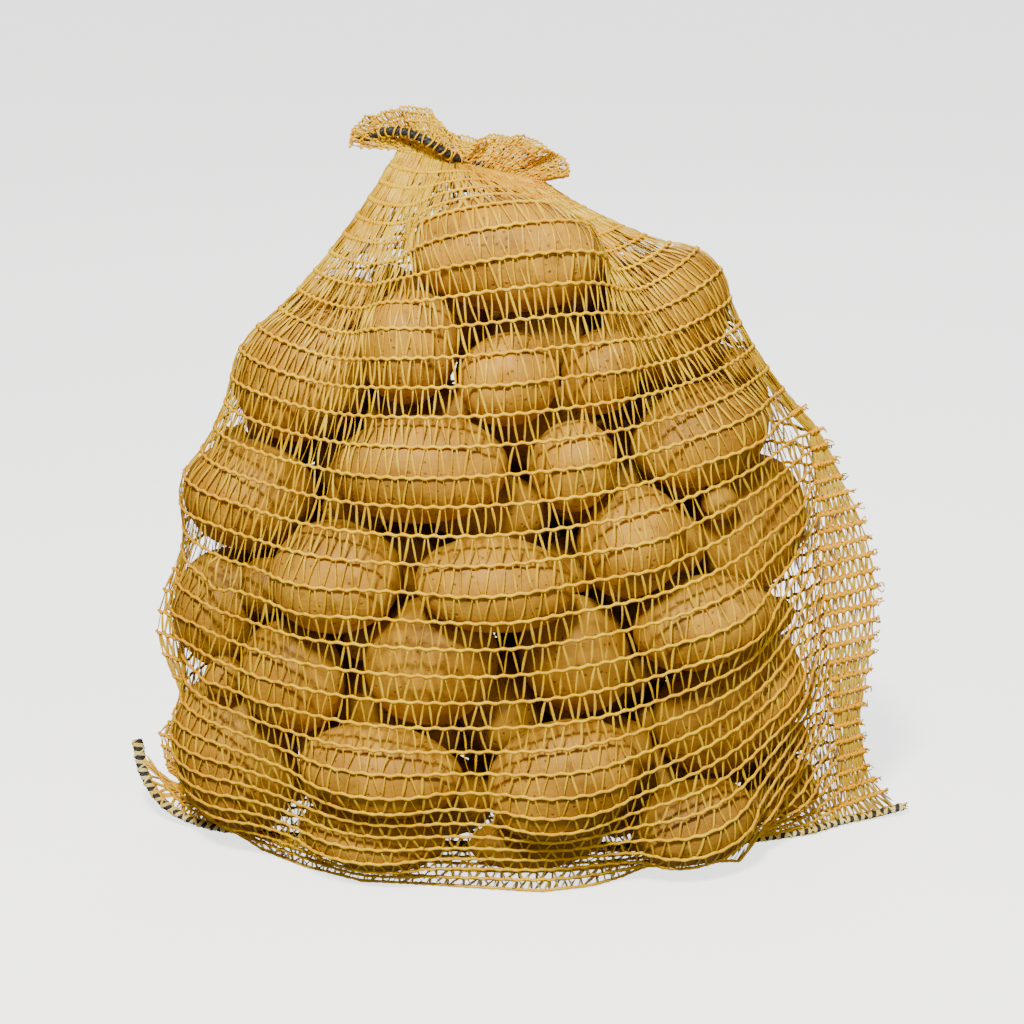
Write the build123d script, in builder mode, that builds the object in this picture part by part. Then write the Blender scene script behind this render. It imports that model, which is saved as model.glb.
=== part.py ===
from build123d import *

import math
import os
from dataclasses import dataclass

import numpy as np

# Mesh produce bag: a sack of knitted netting, filled with potatoes and standing on its base.
# Its mouth is a flat slit on top, drawn shut by a drawstring that runs through the hem, and its
# bottom is closed by an overlocked seam whose two ends stick out as corners.
# Millimetres. The origin is the middle of the base, Z is up, the front faces -Y, right is +X.

# ---------------------------------------------------------------- the filled sack
sack_width = 352.0  # across the filled part at its widest
sack_depth = 226.0  # front to back at its widest
fill_height = 361.0  # floor to the top of the filled part
net_wall = 1.2  # thickness of the stretched netting
base_wall = 5.2  # netting folded under the sack, which it stands on
fill_gap = 0.6  # netting to potato
potato_gap = 0.5  # potato to potato

# Outline of the filled part, level by level: shares of its height, half width and half depth,
# then how far the middle of that level stands to the right and to the back, in millimetres.
sack_outline = [
    (0.00, 0.800, 0.730, 0.0, 0.0),
    (0.02, 0.910, 0.850, 0.0, 0.0),
    (0.07, 0.985, 0.955, 0.0, 0.0),
    (0.20, 1.000, 1.000, -2.0, 0.0),
    (0.35, 0.960, 0.985, -4.0, 0.0),
    (0.50, 0.925, 0.945, -5.0, 0.0),
    (0.65, 0.850, 0.860, -3.0, 0.0),
    (0.78, 0.720, 0.740, 3.0, -2.0),
    (0.87, 0.580, 0.610, 5.0, -6.0),
    (0.93, 0.450, 0.470, 1.0, -15.0),
    (0.975, 0.330, 0.310, -4.0, -29.0),
    (1.00, 0.220, 0.200, -6.0, -38.0),
]

# ---------------------------------------------------------------- the mouth and its drawstring
mouth_length = 92.0  # along the slit
mouth_rise = 13.0  # degrees that the slit climbs towards the left
mouth_right = -22.0  # the slit's middle: to the right
mouth_back = 10.0  # and to the back
mouth_drop = 3.0  # and below the sack's top
mouth_centre = (mouth_right, mouth_back, fill_height - mouth_drop)
hem_radius = 7.5  # the gathered hem round the drawstring
hem_gap = 0.6  # hem to the sack below it
ruffle_thickness = 6.0  # the gathered netting that stands above the hem
# The ruffle's top edge, from the tuft at its left end: along the slit, and above its middle.
ruffle_edge = [
    (-46.0, 3.0),
    (-53.0, 7.0),
    (-39.0, 12.0),
    (-30.0, 16.0),
    (-17.0, 18.5),
    (-8.0, 12.0),
    (0.0, 9.0),
    (10.0, 11.0),
    (29.0, 16.0),
    (44.0, 12.0),
    (50.0, 7.0),
    (46.0, 3.0),
]
cord_diameter = 4.0
cord_spacing = 6.0  # between the drawstring's two runs
cord_gap = 0.5  # drawstring to the hem's tunnel
pull_loop = 9.0  # how far the loop's left end stands out of the hem
cord_inset = 3.0  # how far its right end lies inside the hem

# ---------------------------------------------------------------- empty folds of the netting
fold_thickness = 3.0  # two layers lying loosely on each other
fold_place = 7.0  # the folds stand this far behind the sack's middle
flap_standoff = 7.0  # the lower end of the flap's hinge line, out from the sack's side
flap_height = 5.0  # and above the floor
flap_lean = 6.5  # degrees that the hinge line leans towards the sack
flap_clearance = 1.5  # the flap stands this far off its hinge line
# The flap's free edge: away from the hinge line, and up along it.
flap_edge = [
    (30.0, 0.0),
    (20.5, 13.0),
    (15.0, 27.5),
    (12.5, 55.0),
    (23.0, 97.0),
    (27.0, 124.0),
    (24.5, 153.0),
    (19.0, 174.0),
    (10.0, 200.0),
    (3.0, 221.0),
]
# The left folds' free edges: out from the sack's side, and up.
left_fold_edge = [(8.0, 86.0), (15.0, 100.0), (13.0, 122.0), (2.0, 150.0)]
left_corner_edge = [(-5.0, 10.0), (8.0, 26.0), (14.0, 47.0), (-2.0, 68.0)]
fold_root = 36.0  # the folds are drawn from this far inside the sack's side, then cut to its shape

# ---------------------------------------------------------------- the bottom seam
seam_diameter = 3.2
seam_gap = 0.5  # seam to the netting that it lies under
seam_lift = 0.3  # the seam clears the floor by this much
# The left corner rises: out from the sack's side, to the back, and above the seam's lowest run.
seam_left = [(18.0, 22.0, 46.0), (14.0, 14.0, 24.0), (-2.0, 5.0, 6.0)]
# Under the base: a share of the half width, and to the back.
seam_under = [(-0.82, -6.0), (-0.56, -17.0), (-0.26, -24.0), (0.09, -27.0), (0.43, -26.0), (0.72, -20.0)]
# The right corner, on the flap: out from the sack's side, to the back, and above the lowest run.
seam_right = [(-12.0, -8.0, 0.0), (8.0, 5.5, 0.0), (26.0, 13.0, 1.0), (40.0, 17.0, 3.0)]
seam_split = 2.5  # between the seam's two stretches, which part at the flap's hinge line
bend_share = 0.45  # each bend takes this share of the shorter run beside it


@dataclass
class Potato:
    """One potato: where it lies against the netting, and its three sizes."""

    across: float  # share of the sack's half width, left to right
    height: float  # share of the filled height
    length: float
    width: float
    thickness: float
    lean: float  # degrees that its length rises to the right
    sunk: float = 0.0  # how far behind the netting it lies


# The potatoes that lie against the front of the netting, from the top course to the floor.
front_potatoes = [
    Potato(-0.04, 0.868, 102, 60, 58, -4),
    Potato(0.63, 0.795, 84, 74, 62, 60),
    Potato(0.30, 0.815, 56, 46, 44, 20, 22),
    Potato(-0.70, 0.705, 80, 68, 60, 35),
    Potato(-0.31, 0.765, 62, 54, 52, 80),
    Potato(0.12, 0.768, 56, 40, 40, 5, 12),
    Potato(0.03, 0.715, 60, 54, 50, 25),
    Potato(0.29, 0.730, 50, 44, 42, 60, 8),
    Potato(-0.17, 0.640, 104, 64, 56, 4),
    Potato(0.27, 0.612, 52, 48, 46, 70),
    Potato(0.66, 0.630, 80, 54, 54, 12),
    Potato(-0.03, 0.545, 74, 48, 46, -10, 6),
    Potato(0.82, 0.478, 78, 62, 58, 75),
    Potato(-0.78, 0.525, 76, 60, 58, 5),
    Potato(0.40, 0.520, 66, 62, 56, 60),
    Potato(0.02, 0.450, 86, 52, 52, -4),
    Potato(-0.45, 0.445, 72, 62, 58, 15),
    Potato(0.60, 0.385, 78, 52, 52, 4),
    Potato(-0.82, 0.345, 72, 60, 56, 80),
    Potato(-0.19, 0.330, 76, 72, 62, 30),
    Potato(0.26, 0.318, 72, 62, 58, 120),
    Potato(-0.57, 0.275, 66, 60, 54, 110),
    Potato(0.68, 0.205, 96, 76, 62, 25),
    Potato(-0.79, 0.122, 96, 72, 62, 112),
    Potato(-0.33, 0.190, 98, 54, 58, -3, 5),
    Potato(0.18, 0.172, 92, 72, 58, 20),
    Potato(0.88, 0.060, 48, 36, 42, 10),
    Potato(0.57, 0.075, 78, 48, 50, 8, 10),
    Potato(-0.37, 0.070, 90, 42, 48, -4),
    Potato(0.11, 0.060, 80, 34, 40, 3),
]

# The rest: for each course, its share of the filled height, how many lie round the back, and how
# many lie in the core.
hidden_courses = [
    (0.080, 6, 3),
    (0.225, 6, 3),
    (0.365, 6, 3),
    (0.505, 5, 3),
    (0.640, 4, 2),
    (0.765, 3, 1),
    (0.880, 1, 0),
]
usual_potato = (74.0, 60.0, 55.0)  # length, width and thickness
size_spread = 0.10  # the hidden ones differ from that by this share
single_potatoes = 50  # this many have a node of their own, and the rest share one

side_turn = 35.0  # degrees that a front potato at the sack's side is turned with the netting
core_spread = 0.55  # how far apart the core's potatoes start, as a share of the half width
steepest_lean = 40.0  # degrees, of the hidden potatoes
chance_seed = 11

# ---------------------------------------------------------------- how the potatoes are settled
settling_steps = 700
front_mobility = 0.12  # how readily a front potato gives way to the others
front_pull = np.array([0.25, 0.06, 0.25])  # how strongly it goes back to its own place
contact_share = 0.6  # the share of an overlap that one step clears
wall_share = 0.8  # the same, at the netting and the hem
settling_drop = 0.15  # how far the hidden potatoes sink in each early step
longest_move = 6.0  # in one step
fitting_rounds = 16
fitting_margin = 0.0005  # a share of the size, taken off beyond what touches


# ================================================================ the sack's outline as a function
def sack_level(z):
    """Half width, half depth and middle of the filled sack's outline at a height."""
    shares = [row[0] * fill_height for row in sack_outline]
    width = np.interp(z, shares, [row[1] * sack_width / 2 for row in sack_outline])
    depth = np.interp(z, shares, [row[2] * sack_depth / 2 for row in sack_outline])
    right = np.interp(z, shares, [row[3] for row in sack_outline])
    back = np.interp(z, shares, [row[4] for row in sack_outline])
    return width, depth, right, back


def inside_level(z, gap):
    """The same for the room inside the netting, a gap away from it."""
    rise = (np.asarray(z) - base_wall) / (fill_height - net_wall - base_wall)
    width, depth, right, back = sack_level(rise * fill_height)
    return width - net_wall - gap, depth - net_wall - gap, right, back


mouth_direction = np.array(
    [-math.cos(math.radians(mouth_rise)), 0.0, math.sin(math.radians(mouth_rise))]
)


# ================================================================ laying the potatoes in the sack
def ellipsoid_matrix(half_sizes, turn):
    """The matrix M of the ellipsoid (p - c)' M^-1 (p - c) = 1."""
    return turn @ np.diag(np.square(half_sizes)) @ turn.T


def rotation_about(axis, degrees):
    """Rotation matrix about one of the axes x, y and z."""
    c, s = math.cos(math.radians(degrees)), math.sin(math.radians(degrees))
    i, j = {"x": (1, 2), "y": (2, 0), "z": (0, 1)}[axis]
    turn = np.eye(3)
    turn[i, i] = turn[j, j] = c
    turn[i, j], turn[j, i] = -s, s
    return turn


def even_directions(count):
    """Unit vectors spread evenly over a sphere."""
    k = np.arange(count) + 0.5
    polar = np.arccos(1 - 2 * k / count)
    around = math.pi * (1 + 5**0.5) * k
    return np.stack(
        [np.cos(around) * np.sin(polar), np.sin(around) * np.sin(polar), np.cos(polar)], axis=1
    )


def closeness(offset, first, second, samples):
    """How much two ellipsoids could both grow before they touch (1 when they touch), and the
    direction in which they push each other apart."""
    best = np.zeros(len(offset))
    push = np.zeros_like(offset)
    for share in np.linspace(0.08, 0.92, samples):
        blend = (1 - share) * first + share * second
        solved = np.linalg.solve(blend, offset[:, :, None])[:, :, 0]
        value = share * (1 - share) * np.einsum("ij,ij->i", offset, solved)
        better = value > best
        best[better] = value[better]
        push[better] = solved[better]
    push /= np.linalg.norm(push, axis=1)[:, None]
    return np.sqrt(best), push


def wall_push(points, gap):
    """How far each point must move to lie inside the netting, and which way."""
    step = 2.0
    a, b, right, back = inside_level(points[:, 2], gap)
    qx, qy = (points[:, 0] - right) / a, (points[:, 1] - back) / b
    reach = np.maximum(np.hypot(qx, qy), 1e-6)
    up_a, up_b, up_right, up_back = inside_level(points[:, 2] + step, gap)
    up = np.hypot((points[:, 0] - up_right) / up_a, (points[:, 1] - up_back) / up_b)
    slope = np.stack([qx / a / reach, qy / b / reach, (up - reach) / step], axis=1)
    steepness = np.linalg.norm(slope, axis=1)
    out = np.maximum(reach - 1, 0) / steepness
    return -slope / steepness[:, None] * out[:, None], out


def ceiling_and_floor(points, gap):
    """Vertical moves that keep points above the folded base and under the sack's top."""
    low = base_wall + gap
    high = fill_height - net_wall - gap
    return np.maximum(low - points[:, 2], 0) - np.maximum(points[:, 2] - high, 0)


def mouth_push(points, gap):
    """Moves that keep points clear of the gathered hem."""
    along = (points - np.array(mouth_centre)) @ mouth_direction
    along = np.clip(along, -mouth_length / 2, mouth_length / 2 + pull_loop)
    away = points - np.array(mouth_centre) - along[:, None] * mouth_direction
    far = np.maximum(np.linalg.norm(away, axis=1), 1e-6)
    short = np.maximum(hem_radius + hem_gap + gap - far, 0)
    return away / far[:, None] * short[:, None], short


def lay_against_netting(potato, half_sizes, turn):
    """Centre of a front potato that touches the inside of the netting at its own place."""
    z = potato.height * fill_height
    half_width, _, right, _ = sack_level(z)
    surface = even_directions(200) * half_sizes @ turn.T
    x = right + potato.across * half_width
    lowest = base_wall + fill_gap - surface[:, 2].min()
    z = max(z, lowest)
    width, depth, right, back = inside_level(z + surface[:, 2], fill_gap)
    share = np.clip(np.abs(x + surface[:, 0] - right) / width, 0, 0.97)
    front = back - depth * np.sqrt(1 - share**2)
    return np.array([x, (front - surface[:, 1]).max() + potato.sunk, z])


def first_places():
    """Half sizes, turns, starting centres and mobility of all the potatoes."""
    chance = np.random.default_rng(chance_seed)
    sizes, turns, centres, mobility = [], [], [], []
    for potato in front_potatoes:
        half_sizes = np.array([potato.length, potato.width, potato.thickness]) / 2
        # length along x, width upright, thickness from front to back, then leaned
        turn = rotation_about("y", -potato.lean) @ rotation_about("x", 90)
        turn = rotation_about("z", side_turn * potato.across) @ turn
        sizes.append(half_sizes)
        turns.append(turn)
        centres.append(lay_against_netting(potato, half_sizes, turn))
        mobility.append(front_mobility)
    inset = usual_potato[1] / 2
    for height, round_back, in_core in hidden_courses:
        z = height * fill_height
        width, depth, right, back = sack_level(z)
        half_row, half_way = width - inset, depth - inset
        places = []
        for k in range(round_back):
            around = math.pi * (k + 0.5) / round_back
            places.append((right + half_row * math.cos(around), back + half_way * math.sin(around)))
        for k in range(in_core):
            places.append((right + half_row * core_spread * (k + 0.5 - in_core / 2), back))
        for x, y in places:
            spread = 1 + size_spread * chance.uniform(-1, 1, 3)
            sizes.append(np.array(usual_potato) / 2 * spread)
            facing = rotation_about("z", chance.uniform(0, 180))
            lean = rotation_about("y", chance.uniform(-steepest_lean, steepest_lean))
            turns.append(facing @ lean @ rotation_about("x", chance.uniform(0, 180)))
            centres.append(np.array([x, y, z]))
            mobility.append(1.0)
    return np.array(sizes), np.array(turns), np.array(centres), np.array(mobility)


def near_pairs(centres, sizes):
    """Pairs of potatoes close enough to touch."""
    first, second = np.triu_indices(len(centres), 1)
    far = np.linalg.norm(centres[first] - centres[second], axis=1)
    close = far < sizes[first].max(axis=1) + sizes[second].max(axis=1) + potato_gap
    return first[close], second[close]


def settle(sizes, turns, centres, mobility):
    """Shifts the potatoes until they lie clear of each other, the netting and the hem."""
    wanted = centres.copy()
    front = mobility < 1
    shapes = np.array([ellipsoid_matrix(s, t) for s, t in zip(sizes, turns)])
    directions = even_directions(60)
    surfaces = np.einsum("nij,nmj->nmi", turns, directions[None] * sizes[:, None])
    for step in range(settling_steps):
        moves = np.zeros_like(centres)
        first, second = near_pairs(centres, sizes)
        offset = centres[second] - centres[first]
        growth, push = closeness(offset, shapes[first], shapes[second], samples=9)
        short = np.linalg.norm(offset, axis=1) * (1 / growth - 1) + potato_gap
        short = np.maximum(short, 0)[:, None]
        give = mobility[first] / (mobility[first] + mobility[second])
        np.add.at(moves, first, -push * short * give[:, None])
        np.add.at(moves, second, push * short * (1 - give)[:, None])
        moves *= contact_share
        points = (centres[:, None] + surfaces).reshape(-1, 3)
        inward, out = wall_push(points, fill_gap)
        count = len(directions)
        worst = out.reshape(-1, count).argmax(axis=1) + np.arange(len(centres)) * count
        moves += inward[worst] * wall_share
        upright = ceiling_and_floor(points, fill_gap).reshape(-1, count)
        moves[:, 2] += upright.max(axis=1) + upright.min(axis=1)
        aside, near = mouth_push(points, fill_gap)
        worst = near.reshape(-1, count).argmax(axis=1) + np.arange(len(centres)) * count
        moves += aside[worst] * wall_share
        if step < settling_steps // 2:
            moves[:, 2] -= settling_drop * mobility
        moves[front] += (wanted[front] - centres[front]) * front_pull
        length = np.maximum(np.linalg.norm(moves, axis=1), 1e-9)
        moves *= np.minimum(1, longest_move / length)[:, None]
        centres = centres + moves
    return centres


def fit_sizes(sizes, turns, centres, mobility):
    """Shrinks any potato that still touches another, the netting or the hem, just enough."""
    sizes = sizes.copy()
    directions = even_directions(400)
    for _ in range(fitting_rounds):
        shapes = np.array([ellipsoid_matrix(s, t) for s, t in zip(sizes, turns)])
        first, second = near_pairs(centres, sizes)
        offset = centres[second] - centres[first]
        growth, _ = closeness(offset, shapes[first], shapes[second], samples=41)
        allowed = growth / (1 + potato_gap / sizes.min(axis=1)[first])
        shrink = np.ones(len(sizes))
        tight = allowed < 1
        hidden_first = tight & (mobility[first] >= mobility[second])
        hidden_second = tight & (mobility[second] >= mobility[first])
        np.minimum.at(shrink, first[hidden_first], allowed[hidden_first])
        np.minimum.at(shrink, second[hidden_second], allowed[hidden_second])
        surfaces = np.einsum("nij,nmj->nmi", turns, directions[None] * sizes[:, None])
        points = (centres[:, None] + surfaces).reshape(-1, 3)
        _, out = wall_push(points, fill_gap)
        short = np.abs(ceiling_and_floor(points, fill_gap))
        near = mouth_push(points, fill_gap)[1]
        over = np.maximum(np.maximum(out, short), near).reshape(len(sizes), -1).max(axis=1)
        shrink = np.minimum(shrink, 1 - over / sizes.min(axis=1))
        if shrink.min() > 1 - fitting_margin:
            break
        sizes *= np.where(shrink < 1, shrink - fitting_margin, 1.0)[:, None]
    return sizes


# ================================================================ building blocks
def save(part, name):
    """Labels a finished piece and writes it."""
    part.label = name
    export_step(part, f"parts/{name}.step")


def outline_levels(inside):
    """Height, half width, half depth and middle of each level of the netting's surface."""
    levels = []
    for share, wide, deep, right, back in sack_outline:
        height = share * fill_height
        width = wide * sack_width / 2
        depth = deep * sack_depth / 2
        if inside:
            height = base_wall + share * (fill_height - net_wall - base_wall)
            width -= net_wall
            depth -= net_wall
        levels.append((height, width, depth, right, back))
    return levels


def bend_radii(points):
    """The largest radius that each bend of a route has room for."""
    radii = []
    for before, here, after in zip(points, points[1:], points[2:]):
        turn = math.radians((here - before).get_angle(after - here))
        run = min((here - before).length, (after - here).length)
        radii.append(bend_share * run / math.tan(turn / 2))
    return radii


def potato_solid(half_sizes, turn, centre):
    """One potato as a plain ellipsoid, in its place."""
    with BuildPart() as plain:
        Sphere(1.0)
        scale(by=tuple(float(size) for size in half_sizes))
    place = Plane(origin=tuple(centre), x_dir=tuple(turn[:, 0]), z_dir=tuple(turn[:, 2]))
    return plain.part.moved(place.location)


os.makedirs("parts", exist_ok=True)

# ================================================================ the filled sack of netting
with BuildPart() as filled_shape:
    for height, width, depth, right, back in outline_levels(inside=False):
        with BuildSketch(Plane.XY.offset(height)):
            with Locations((right, back)):
                Ellipse(width, depth)
    loft(ruled=True)

with BuildPart() as room_inside:
    for height, width, depth, right, back in outline_levels(inside=True):
        with BuildSketch(Plane.XY.offset(height)):
            with Locations((right, back)):
                Ellipse(width, depth)
    loft(ruled=True)

# across the slit: X runs to the back, and Z along the slit to the left
slit_section = Plane(origin=mouth_centre, x_dir=(0, 1, 0), z_dir=tuple(mouth_direction))
# along the slit: X runs to the right, and Y up
slit_side = Plane(origin=mouth_centre, x_dir=tuple(-mouth_direction), z_dir=(0, -1, 0))

side = sack_width / 2
seam_height = seam_lift + seam_diameter / 2
seam_points = [Vector(-side - out, back, seam_height + up) for out, back, up in seam_left]
seam_points += [Vector(share * side, back, seam_height) for share, back in seam_under]
seam_points += [Vector(side + out, back, seam_height + up) for out, back, up in seam_right]
with BuildLine() as seam_path:
    FilletPolyline(*seam_points, radius=bend_radii(seam_points))
seam_start = Plane(origin=seam_path.line @ 0, z_dir=seam_path.line % 0)

with BuildPart() as seam_groove:
    with BuildSketch(seam_start):
        Circle(seam_diameter / 2 + seam_gap)
    sweep(path=seam_path.line)

with BuildPart() as net_sack:
    add(filled_shape.part)
    add(room_inside.part, mode=Mode.SUBTRACT)
    add(seam_groove.part, mode=Mode.SUBTRACT)
    with BuildSketch(slit_section):
        Circle(hem_radius + hem_gap)
    extrude(amount=mouth_length / 2 + hem_gap, both=True, mode=Mode.SUBTRACT)
save(net_sack.part, "net_sack")

# ================================================================ the bottom seam
# Its right end goes with the flap, so it is cut where it crosses the flap's hinge line.
flap_foot = Vector(side + flap_standoff, fold_place, flap_height)
flap_up = Vector(-math.sin(math.radians(flap_lean)), 0, math.cos(math.radians(flap_lean)))
hinge_side = Plane(origin=flap_foot, z_dir=(flap_up.Z, 0, -flap_up.X))

with BuildPart() as bottom_seam:
    with BuildSketch(seam_start):
        Circle(seam_diameter / 2)
    sweep(path=seam_path.line)
    split(bisect_by=hinge_side.offset(-seam_split / 2), keep=Keep.BOTTOM)
save(bottom_seam.part, "bottom_seam")

with BuildPart() as seam_corner:
    with BuildSketch(seam_start):
        Circle(seam_diameter / 2)
    sweep(path=seam_path.line)
    split(bisect_by=hinge_side.offset(seam_split / 2), keep=Keep.TOP)
save(seam_corner.part, "seam_corner")

# ================================================================ the gathered mouth
with BuildPart() as gathered_mouth:
    with BuildSketch(slit_section):
        Circle(hem_radius)
    extrude(amount=mouth_length / 2, both=True)
    with BuildSketch(slit_side):
        with BuildLine():
            Polyline(*ruffle_edge, close=True)
        make_face()
    extrude(amount=ruffle_thickness / 2, both=True)
    with BuildSketch(slit_section):
        SlotOverall(
            cord_spacing + cord_diameter + 2 * cord_gap,
            cord_diameter + 2 * cord_gap,
        )
    extrude(amount=mouth_length, both=True, mode=Mode.SUBTRACT)
save(gathered_mouth.part, "gathered_mouth")

# ================================================================ the drawstring
# a flat closed loop of two runs, whose right end lies inside the hem
loop_left = mouth_length / 2 + pull_loop
loop_right = mouth_length / 2 - cord_inset
half_run = (loop_left + loop_right - cord_spacing - cord_diameter) / 2
loop_middle = (loop_left - loop_right) / 2
loop_plane = Plane(
    origin=Vector(*mouth_centre) + Vector(*mouth_direction) * loop_middle,
    x_dir=tuple(mouth_direction),
    z_dir=tuple(np.cross(mouth_direction, [0.0, 1.0, 0.0])),
)
with BuildPart() as drawstring:
    with BuildLine(loop_plane) as loop_path:
        near = Line((-half_run, -cord_spacing / 2), (half_run, -cord_spacing / 2))
        left_turn = TangentArc(near @ 1, (half_run, cord_spacing / 2), tangent=near % 1)
        far = Line(left_turn @ 1, (-half_run, cord_spacing / 2))
        TangentArc(far @ 1, near @ 0, tangent=far % 1)
    with BuildSketch(Plane(origin=loop_path.line @ 0, z_dir=loop_path.line % 0)):
        Circle(cord_diameter / 2)
    sweep(path=loop_path.line)
save(drawstring.part, "drawstring")

# ================================================================ the empty folds
flap_plane = Plane(origin=flap_foot, x_dir=(flap_up.Z, 0, -flap_up.X), z_dir=(0, -1, 0))
with BuildPart() as side_flap:
    with BuildSketch(flap_plane):
        with BuildLine():
            Polyline(
                (flap_clearance, 0),
                *flap_edge,
                (flap_clearance, flap_edge[-1][1]),
                close=True,
            )
        make_face()
    extrude(amount=fold_thickness / 2, both=True)
save(side_flap.part, "side_flap")


def fold_solid(plane, edge, root):
    """A double layer of netting from the sack's side out to its free edge."""
    with BuildPart() as fold:
        with BuildSketch(plane):
            with BuildLine():
                Polyline((root, edge[0][1]), *edge, (root, edge[-1][1]), close=True)
            make_face()
        extrude(amount=fold_thickness / 2, both=True)
        add(filled_shape.part, mode=Mode.SUBTRACT)
        add(seam_groove.part, mode=Mode.SUBTRACT)
    return fold.part


# at the sack's left side, with X running outwards
left_plane = Plane(origin=(-side, fold_place, 0), x_dir=(-1, 0, 0), z_dir=(0, 1, 0))
save(fold_solid(left_plane, left_fold_edge, -fold_root), "left_fold")
save(fold_solid(left_plane, left_corner_edge, -fold_root), "left_corner")

# ================================================================ the potatoes
sizes, turns, centres, mobility = first_places()
centres = settle(sizes, turns, centres, mobility)
sizes = fit_sizes(sizes, turns, centres, mobility)
potatoes = [potato_solid(*facts) for facts in zip(sizes, turns, centres)]
for number, potato in enumerate(potatoes[:single_potatoes], start=1):
    save(potato, f"potato_{number:02d}")
save(Part(children=potatoes[single_potatoes:]), "inner_potatoes")
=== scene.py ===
"""A mesh produce bag full of potatoes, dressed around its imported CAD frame."""
import logging
import math
from dataclasses import dataclass, field
from enum import Enum
from typing import Any, Iterable, Sequence

import bmesh
import bpy
import numpy as np
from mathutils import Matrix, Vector


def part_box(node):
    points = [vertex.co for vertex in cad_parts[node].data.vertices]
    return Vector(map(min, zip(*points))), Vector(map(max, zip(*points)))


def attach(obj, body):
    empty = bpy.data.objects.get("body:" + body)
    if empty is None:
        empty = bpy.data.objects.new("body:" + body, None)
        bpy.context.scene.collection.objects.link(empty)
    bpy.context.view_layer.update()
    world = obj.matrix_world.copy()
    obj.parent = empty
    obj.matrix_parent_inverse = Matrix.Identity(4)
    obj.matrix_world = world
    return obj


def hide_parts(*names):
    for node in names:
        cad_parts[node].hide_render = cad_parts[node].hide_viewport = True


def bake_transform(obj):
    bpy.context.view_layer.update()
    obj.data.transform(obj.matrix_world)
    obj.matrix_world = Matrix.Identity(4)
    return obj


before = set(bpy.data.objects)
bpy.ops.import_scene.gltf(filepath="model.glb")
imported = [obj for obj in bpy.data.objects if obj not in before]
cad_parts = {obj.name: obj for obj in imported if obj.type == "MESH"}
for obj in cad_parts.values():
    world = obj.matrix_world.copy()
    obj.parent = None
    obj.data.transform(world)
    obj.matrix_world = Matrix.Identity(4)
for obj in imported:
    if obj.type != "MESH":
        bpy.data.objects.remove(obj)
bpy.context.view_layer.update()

MM = 0.001
WELD = 1e-6
FIT_SCALE = 0.03
FLOOR_GAP = 1.0 * MM
LOG = logging.getLogger("produce_bag")

Point = tuple[float, float, float]
Colour = tuple[float, float, float, float]


class Slot(Enum):
    """The record's material slots."""

    NETTING = "netting"
    DRAWSTRING = "drawstring"
    SEAM = "seam_thread"
    POTATO = "potato_skin"


# Each row: share of the height, half width and half depth as shares, the middle's X and Y in mm.
SACK_OUTLINE: tuple[tuple[float, ...], ...] = (
    (0, 0.80, 0.73, 0, 0), (0.02, 0.91, 0.85, 0, 0), (0.07, 0.985, 0.955, 0, 0), (0.2, 1, 1, -2, 0),
    (0.35, 0.96, 0.985, -4, 0), (0.5, 0.925, 0.945, -5, 0), (0.65, 0.85, 0.86, -3, 0),
    (0.78, 0.72, 0.74, 3, -2), (0.87, 0.58, 0.61, 5, -6), (0.93, 0.45, 0.47, 1, -15),
    (0.975, 0.33, 0.31, -4, -29), (1, 0.22, 0.2, -6, -38),
)


# ---------------------------------------------------------------- shaders


class Term:
    """A shader socket that takes part in Python arithmetic."""

    def __init__(self, maker: "Shader", socket: bpy.types.NodeSocket) -> None:
        """Keeps the socket and the shader that it belongs to.

        Args:
            maker: the shader whose tree gets the Math nodes.
            socket: the output that this term stands for.
        """
        self.maker = maker
        self.socket = socket

    def _join(self, operation: str, first: Any, second: Any) -> "Term":
        """Adds one Math node.

        Args:
            operation: the Math node's operation.
            first: the first number or term.
            second: the second number or term.

        Returns:
            The term that the node gives.
        """
        return self.maker.node("ShaderNodeMath", {"operation": operation}, {0: first, 1: second})

    def __add__(self, other: Any) -> "Term":
        """Adds.

        Args:
            other: a number or a term.

        Returns:
            The sum.
        """
        return self._join("ADD", self, other)

    __radd__ = __add__

    def __sub__(self, other: Any) -> "Term":
        """Takes the other away.

        Args:
            other: a number or a term.

        Returns:
            The difference.
        """
        return self._join("SUBTRACT", self, other)

    def __rsub__(self, other: Any) -> "Term":
        """Takes this away from the other.

        Args:
            other: a number or a term.

        Returns:
            The difference.
        """
        return self._join("SUBTRACT", other, self)

    def __mul__(self, other: Any) -> "Term":
        """Multiplies.

        Args:
            other: a number or a term.

        Returns:
            The product.
        """
        return self._join("MULTIPLY", self, other)

    __rmul__ = __mul__

    def above(self, limit: float, width: float) -> "Term":
        """Gives 0 under a limit and 1 over it, with a soft step.

        Args:
            limit: where the step starts.
            width: how wide the step is.

        Returns:
            The stepped term.
        """
        settings = {"interpolation_type": "SMOOTHSTEP"}
        ends = {1: limit, 2: limit + width, 3: 0.0, 4: 1.0}
        return self.maker.node("ShaderNodeMapRange", settings, {0: self, **ends})


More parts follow.
